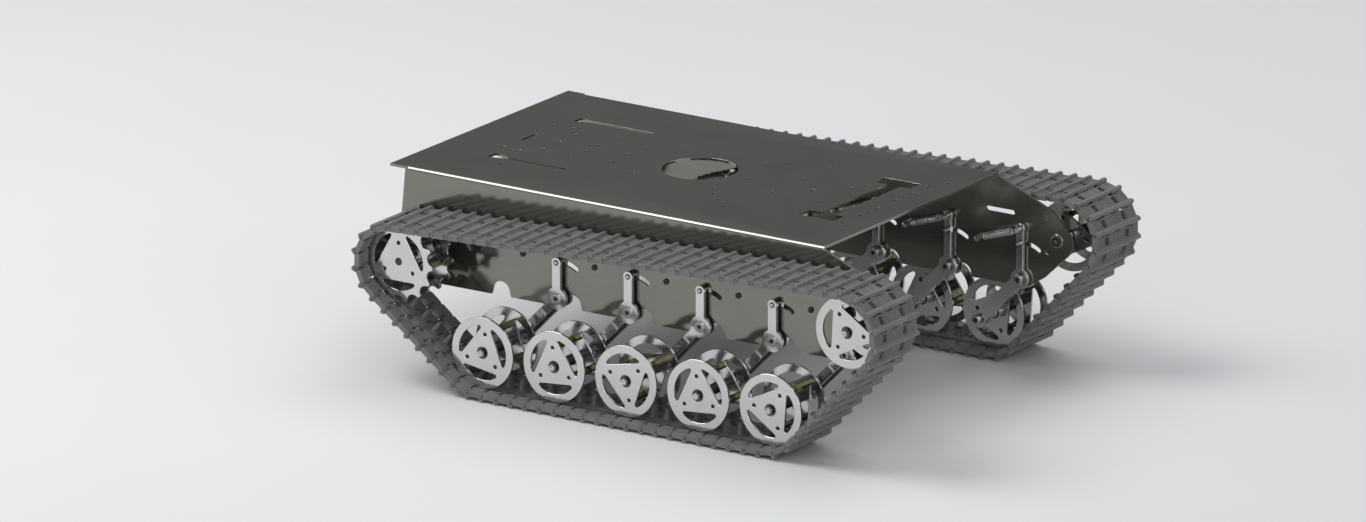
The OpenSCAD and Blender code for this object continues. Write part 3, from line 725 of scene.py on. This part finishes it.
def gear_motor(name, node, side):
    """Round gearbox and motor can, with seams, face screws, end cap and terminals."""
    made = Solids()
    place = placed(sprocket_at.x, 0, sprocket_at.z, 0, side)
    face = half_body - 2.0
    box, can = face - 26, face - 58
    made.lathe([(face + 3.0, 3.1), (face + 3.0, 5.4), (face + 2.6, 5.9), (face + 0.02, 5.9),
                (face - 0.02, 17.9),
                (face - 0.6, 18.5), (face - 4.6, 18.5), (face - 4.8, 18.15), (face - 5.3, 18.15),
                (face - 5.5, 18.5),
                (box + 3.3, 18.5), (box + 3.1, 18.15), (box + 2.6, 18.15), (box + 2.4, 18.5),
                (box + 0.5, 18.5),
                (box, 18.0), (box, 3.1)], STEEL, place, 72, True)
    made.lathe([(box + 0.05, 16.8), (box - 0.4, 17.0), (can + 6.4, 17.0), (can + 6.2, 16.6),
                (can + 5.6, 16.6),
                (can + 5.4, 17.0), (can + 1.2, 17.0), (can + 0.5, 16.6), (can, 15.6), (can, 6.6),
                (can - 1.4, 6.2),
                (can - 1.4, 5.2), (can - 3.6, 4.9), (can - 4.0, 4.4)], CASE, place, 72)
    made.lathe([(can - 4.0, 2.6), (can - 4.5, 2.4), (can - 4.5, 0.6)], STEEL, place, 32)
    for a in (45, 135, 225, 315):
        screw = placed(sprocket_at.x, 0, sprocket_at.z, a, side) @ Matrix.Translation((11.5, 0, 0))
        made.screw_head(can + 0.05, 1.7, 1.0, STEEL, screw, -1, 1.5)
    for a in (0, 180):
        tab = placed(sprocket_at.x, 0, sprocket_at.z, a, side) @ Matrix.Translation((11.8, 0, 0))
        made.skin([[(-0.4, y, -w), (0.4, y, -w), (0.4, y, w), (-0.4, y, w)]
                   for y, w in ((can + 0.2, 1.4), (can - 2.6, 1.4), (can - 3.6, 1.1), (can - 4.2, 0.6))],
                   BRASS_WITH_PAINTED_SHADE, tab)
        made.skin([[(-1.6, y, -2.4), (1.6, y, -2.4), (1.6, y, 2.4), (-1.6, y, 2.4)]
                   for y in (can + 0.2, can - 0.7)], DARK, tab)
        vent = placed(sprocket_at.x, 0, sprocket_at.z, a + 90, side) @ Matrix.Translation((16.75, 0, 0))
        made.skin([[(-0.3, can + 10 + v, -w), (0.45, can + 10 + v, -w), (0.45, can + 10 + v, w),
                    (-0.3, can + 10 + v, w)]
                   for v, w in ((-2.0, 1.2), (-1.4, 2.6), (1.4, 2.6), (2.0, 1.2))], DARK, vent)
    made.piece(name, "chassis", "motor_case", node)


def spring(name, side, index, last):
    """Close-wound tension spring with a hook at each end, from the wall's post to the lever's stud."""
    at = pivot_at[index]
    start, end = Vector((post_dx, 0, post_dz)), Vector((0, 0, stud_dz))
    along = (end - start).normalized()
    up = Vector((-along.z, 0, along.x))
    span = (end - start).length
    wire, coil, turns = 0.5, 2.6, 15.5
    body0, body1 = 5.0, span - 5.0
    hook0 = [(2.2 * cos(a), 0.0, 2.2 * sin(a)) for a in range(250, 59, -19)]
    hook0 += [(3.2, 0.0, 1.0), (4.2, 0.3, 0.9)]
    count = int(turns * 16)
    coils = [(body0 + (body1 - body0) * k / count, coil * sin(360 * turns * k / count + 20),
              coil * cos(360 * turns * k / count + 20)) for k in range(count + 1)]
    hook1 = [(span - 4.2, 0.3, 0.9), (span - 3.2, 0.0, 1.0)]
    hook1 += [(span + 1.75 * cos(a), 0.0, 1.75 * sin(a)) for a in range(120, -71, -19)]
    made = Solids()
    place = placed(at.x, half_body - 10.1, at.z, 0, side)
    points = [start + along * x + Vector((0, y, 0)) + up * z for x, y, z in hook0 + coils + hook1]
    made.tube(points, wire, SPRING, place, 8)
    piece = made.piece(name, None, "spring_steel", *([f"{last}_springs"] if index == 0 else []))
    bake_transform(piece)


# ---------- CAD nodes that stay ----------
def smoothing(limit):
    """A modifier's node group: drops stored normals, and shades smooth up to an angle."""
    group = bpy.data.node_groups.new(f"smooth_{limit}", "GeometryNodeTree")
    for name, way in (("in", "INPUT"), ("out", "OUTPUT")):
        group.interface.new_socket(name, in_out=way, socket_type="NodeSocketGeometry")

    def step(kind):
        return group.nodes.new(kind)

    start, end = step("NodeGroupInput"), step("NodeGroupOutput")
    shade = step("GeometryNodeSetMeshNormal")
    shade.mode = "SHARPNESS"
    angle, sharp = step("GeometryNodeInputMeshEdgeAngle"), step("ShaderNodeMath")
    sharp.operation = "GREATER_THAN"
    sharp.inputs[1].default_value = math.radians(limit)
    join = group.links.new
    shade.inputs["Remove Custom"].default_value = True
    join(start.outputs[0], shade.inputs["Mesh"])
    join(angle.outputs[0], sharp.inputs[0])
    join(sharp.outputs[0], shade.inputs["Edge Sharpness"])
    join(shade.outputs[0], end.inputs[0])
    return group


FLAT, SMOOTH = smoothing(8), smoothing(24)


def finish_node(name, material, width):
    """Gives a CAD node its finish and softens its edges."""
    node = nodes[name]
    if not node.material_slots:
        node.data.materials.append(material)
    for slot in node.material_slots:
        slot.link = "OBJECT"
        slot.material = material
    weld = node.modifiers.new("weld", "WELD")
    weld.merge_threshold = 0.000002
    if material in (DISC, CRANK):
        flat = node.modifiers.new("flat", "DECIMATE")
        flat.decimate_type, flat.angle_limit = "DISSOLVE", math.radians(0.5)
    bevel = node.modifiers.new("bevel", "BEVEL")
    bevel.width = width
    bevel.segments = 1
    bevel.limit_method = "ANGLE"
    bevel.angle_limit = math.radians(38)
    bevel.use_clamp_overlap = True
    node.modifiers.new("smooth", "NODES").node_group = FLAT if name == "chassis_shell" else SMOOTH


finish_node("chassis_shell", HULL, 0.0003)
finish_node("track_pins", PIN, 0.0001)
wheel_turns = (81, 95, 41, 95, 56)  # how far each wheel has rolled, in degrees
for side, sign in SIDES:
    finish_node(f"{side}_idler", DISC, 0.0002)
    finish_node(f"{side}_sprocket", DISC, 0.0002)
    hub(f"{side}_idler_bearings", f"{side}_idler", f"{side}_idler_hub", idler_at, 117, sign)
    sprocket_hub(f"{side}_drive_hub", f"{side}_sprocket", f"{side}_sprocket_hub", sign)
    gear_motor(f"{side}_motor", f"{side}_gear_motor", sign)
    for i in range(5):
        n = i + 1
        finish_node(f"{side}_wheel_{n}", DISC, 0.0002)
        finish_node(f"{side}_arm_{n}", CRANK, 0.0002)
        hub(f"{side}_wheel_bearings_{n}", f"{side}_wheel_{n}", f"{side}_hub_{n}", wheel_at[i],
            wheel_turns[i], sign)
        axle(f"{side}_axle_parts_{n}", f"{side}_arm_{n}", f"{side}_axle_{n}", wheel_at[i], pivot_at[i], sign)
        spring(f"{side}_spring_{n}", sign, i, side)
pivots()
idler_axle_parts()
wall_hardware()
tracks()


# ---------- stage: floor, light, camera ----------
def floor():
    m = Shader("studio_floor")
    tint = m.ramp(m.noise(0.6, 3), (0.3, (0.71, 0.71, 0.713)), (0.7, (0.735, 0.735, 0.735)))
    m.surface(Base_Color=tint, Roughness=0.6, Specular_IOR_Level=0.2)
    mesh = bpy.data.meshes.new("studio_floor")
    far = 14.0
    mesh.from_pydata([(-far, -far, 0), (far, -far, 0), (far, far, 0), (-far, far, 0)], [],
                     [(0, 1, 2, 3)])
    mesh.materials.append(m.material)
    obj = bpy.data.objects.new("studio_floor", mesh)
    bpy.context.scene.collection.objects.link(obj)


def softbox(name, direction, distance, size, power, tint=(1, 1, 1)):
    """An area light that looks at the object's middle from a direction."""
    light = bpy.data.lights.new(name, "AREA")
    light.shape = "RECTANGLE"
    light.size, light.size_y = size
    light.energy = power
    light.color = tint
    obj = bpy.data.objects.new(name, light)
    toward = Vector(direction).normalized()
    obj.location = Vector((0, 0, 0.08)) + toward * distance
    obj.rotation_euler = toward.to_track_quat("Z", "Y").to_euler()
    bpy.context.scene.collection.objects.link(obj)


def sky():
    world = bpy.data.worlds.new("studio")
    bpy.context.scene.world = world
    world.use_nodes = True
    tree = world.node_tree
    tree.nodes.clear()
    coords = tree.nodes.new("ShaderNodeTexCoord").outputs["Generated"]
    height = tree.nodes.new("ShaderNodeSeparateXYZ")
    front = tree.nodes.new("ShaderNodeVectorMath")
    front.operation = "DOT_PRODUCT"
    front.inputs[1].default_value = (0.56, -0.83, 0)
    shade = tree.nodes.new("ShaderNodeBackground")
    out = tree.nodes.new("ShaderNodeOutputWorld")

    def ramp(value, *stops):
        node = tree.nodes.new("ShaderNodeValToRGB")
        tree.links.new(value, node.inputs[0])
        for stop, (position, colour) in zip(node.color_ramp.elements, stops):
            stop.position, stop.color = position, (*colour, 1)
        return node.outputs[0]

    tree.links.new(coords, height.inputs[0])
    tree.links.new(coords, front.inputs[0])
    rising = ramp(height.outputs["Z"], (0.3, (0.26, 0.265, 0.27)), (0.85, (0.7, 0.73, 0.79)))
    ahead = ramp(front.outputs["Value"], (0.1, (0, 0, 0)), (0.6, (0.95, 0.95, 0.95)))
    both = tree.nodes.new("ShaderNodeMixRGB")
    both.blend_type = "LIGHTEN"
    both.inputs[0].default_value = 1
    tree.links.new(rising, both.inputs[1])
    tree.links.new(ahead, both.inputs[2])
    tree.links.new(both.outputs[0], shade.inputs[0])
    tree.links.new(shade.outputs[0], out.inputs[0])
    shade.inputs[1].default_value = 0.6


def camera():
    azimuth, elevation = math.radians(34.1), math.radians(16.68)
    back = Vector((math.sin(azimuth) * math.cos(elevation),
                   -math.cos(azimuth) * math.cos(elevation), math.sin(elevation)))
    aim = Vector((-0.0415, -0.0223, 0.0875))
    data = bpy.data.cameras.new("camera")
    data.sensor_width = 36
    data.lens = 500
    data.clip_start = 1
    data.clip_end = 100
    obj = bpy.data.objects.new("camera", data)
    obj.location = aim + back * (1.0697 * data.lens / data.sensor_width)
    obj.rotation_euler = back.to_track_quat("Z", "Y").to_euler()
    bpy.context.scene.collection.objects.link(obj)
    bpy.context.scene.camera = obj


floor()
sky()
softbox("key", (-0.54, -0.29, 0.79), 2.6, (1.6, 1.6), 43)
softbox("overhead", (0.15, 0.5, 1), 3.4, (2.6, 2.6), 34)
softbox("fill", (0.4, -0.9, 0.6), 3.4, (2.0, 1.4), 8, (0.93, 0.96, 1))
softbox("front", (0.85, -0.55, 0.28), 3.2, (1.8, 1.0), 11, (0.93, 0.96, 1))
camera()
bpy.context.scene.view_settings.view_transform = "Standard"
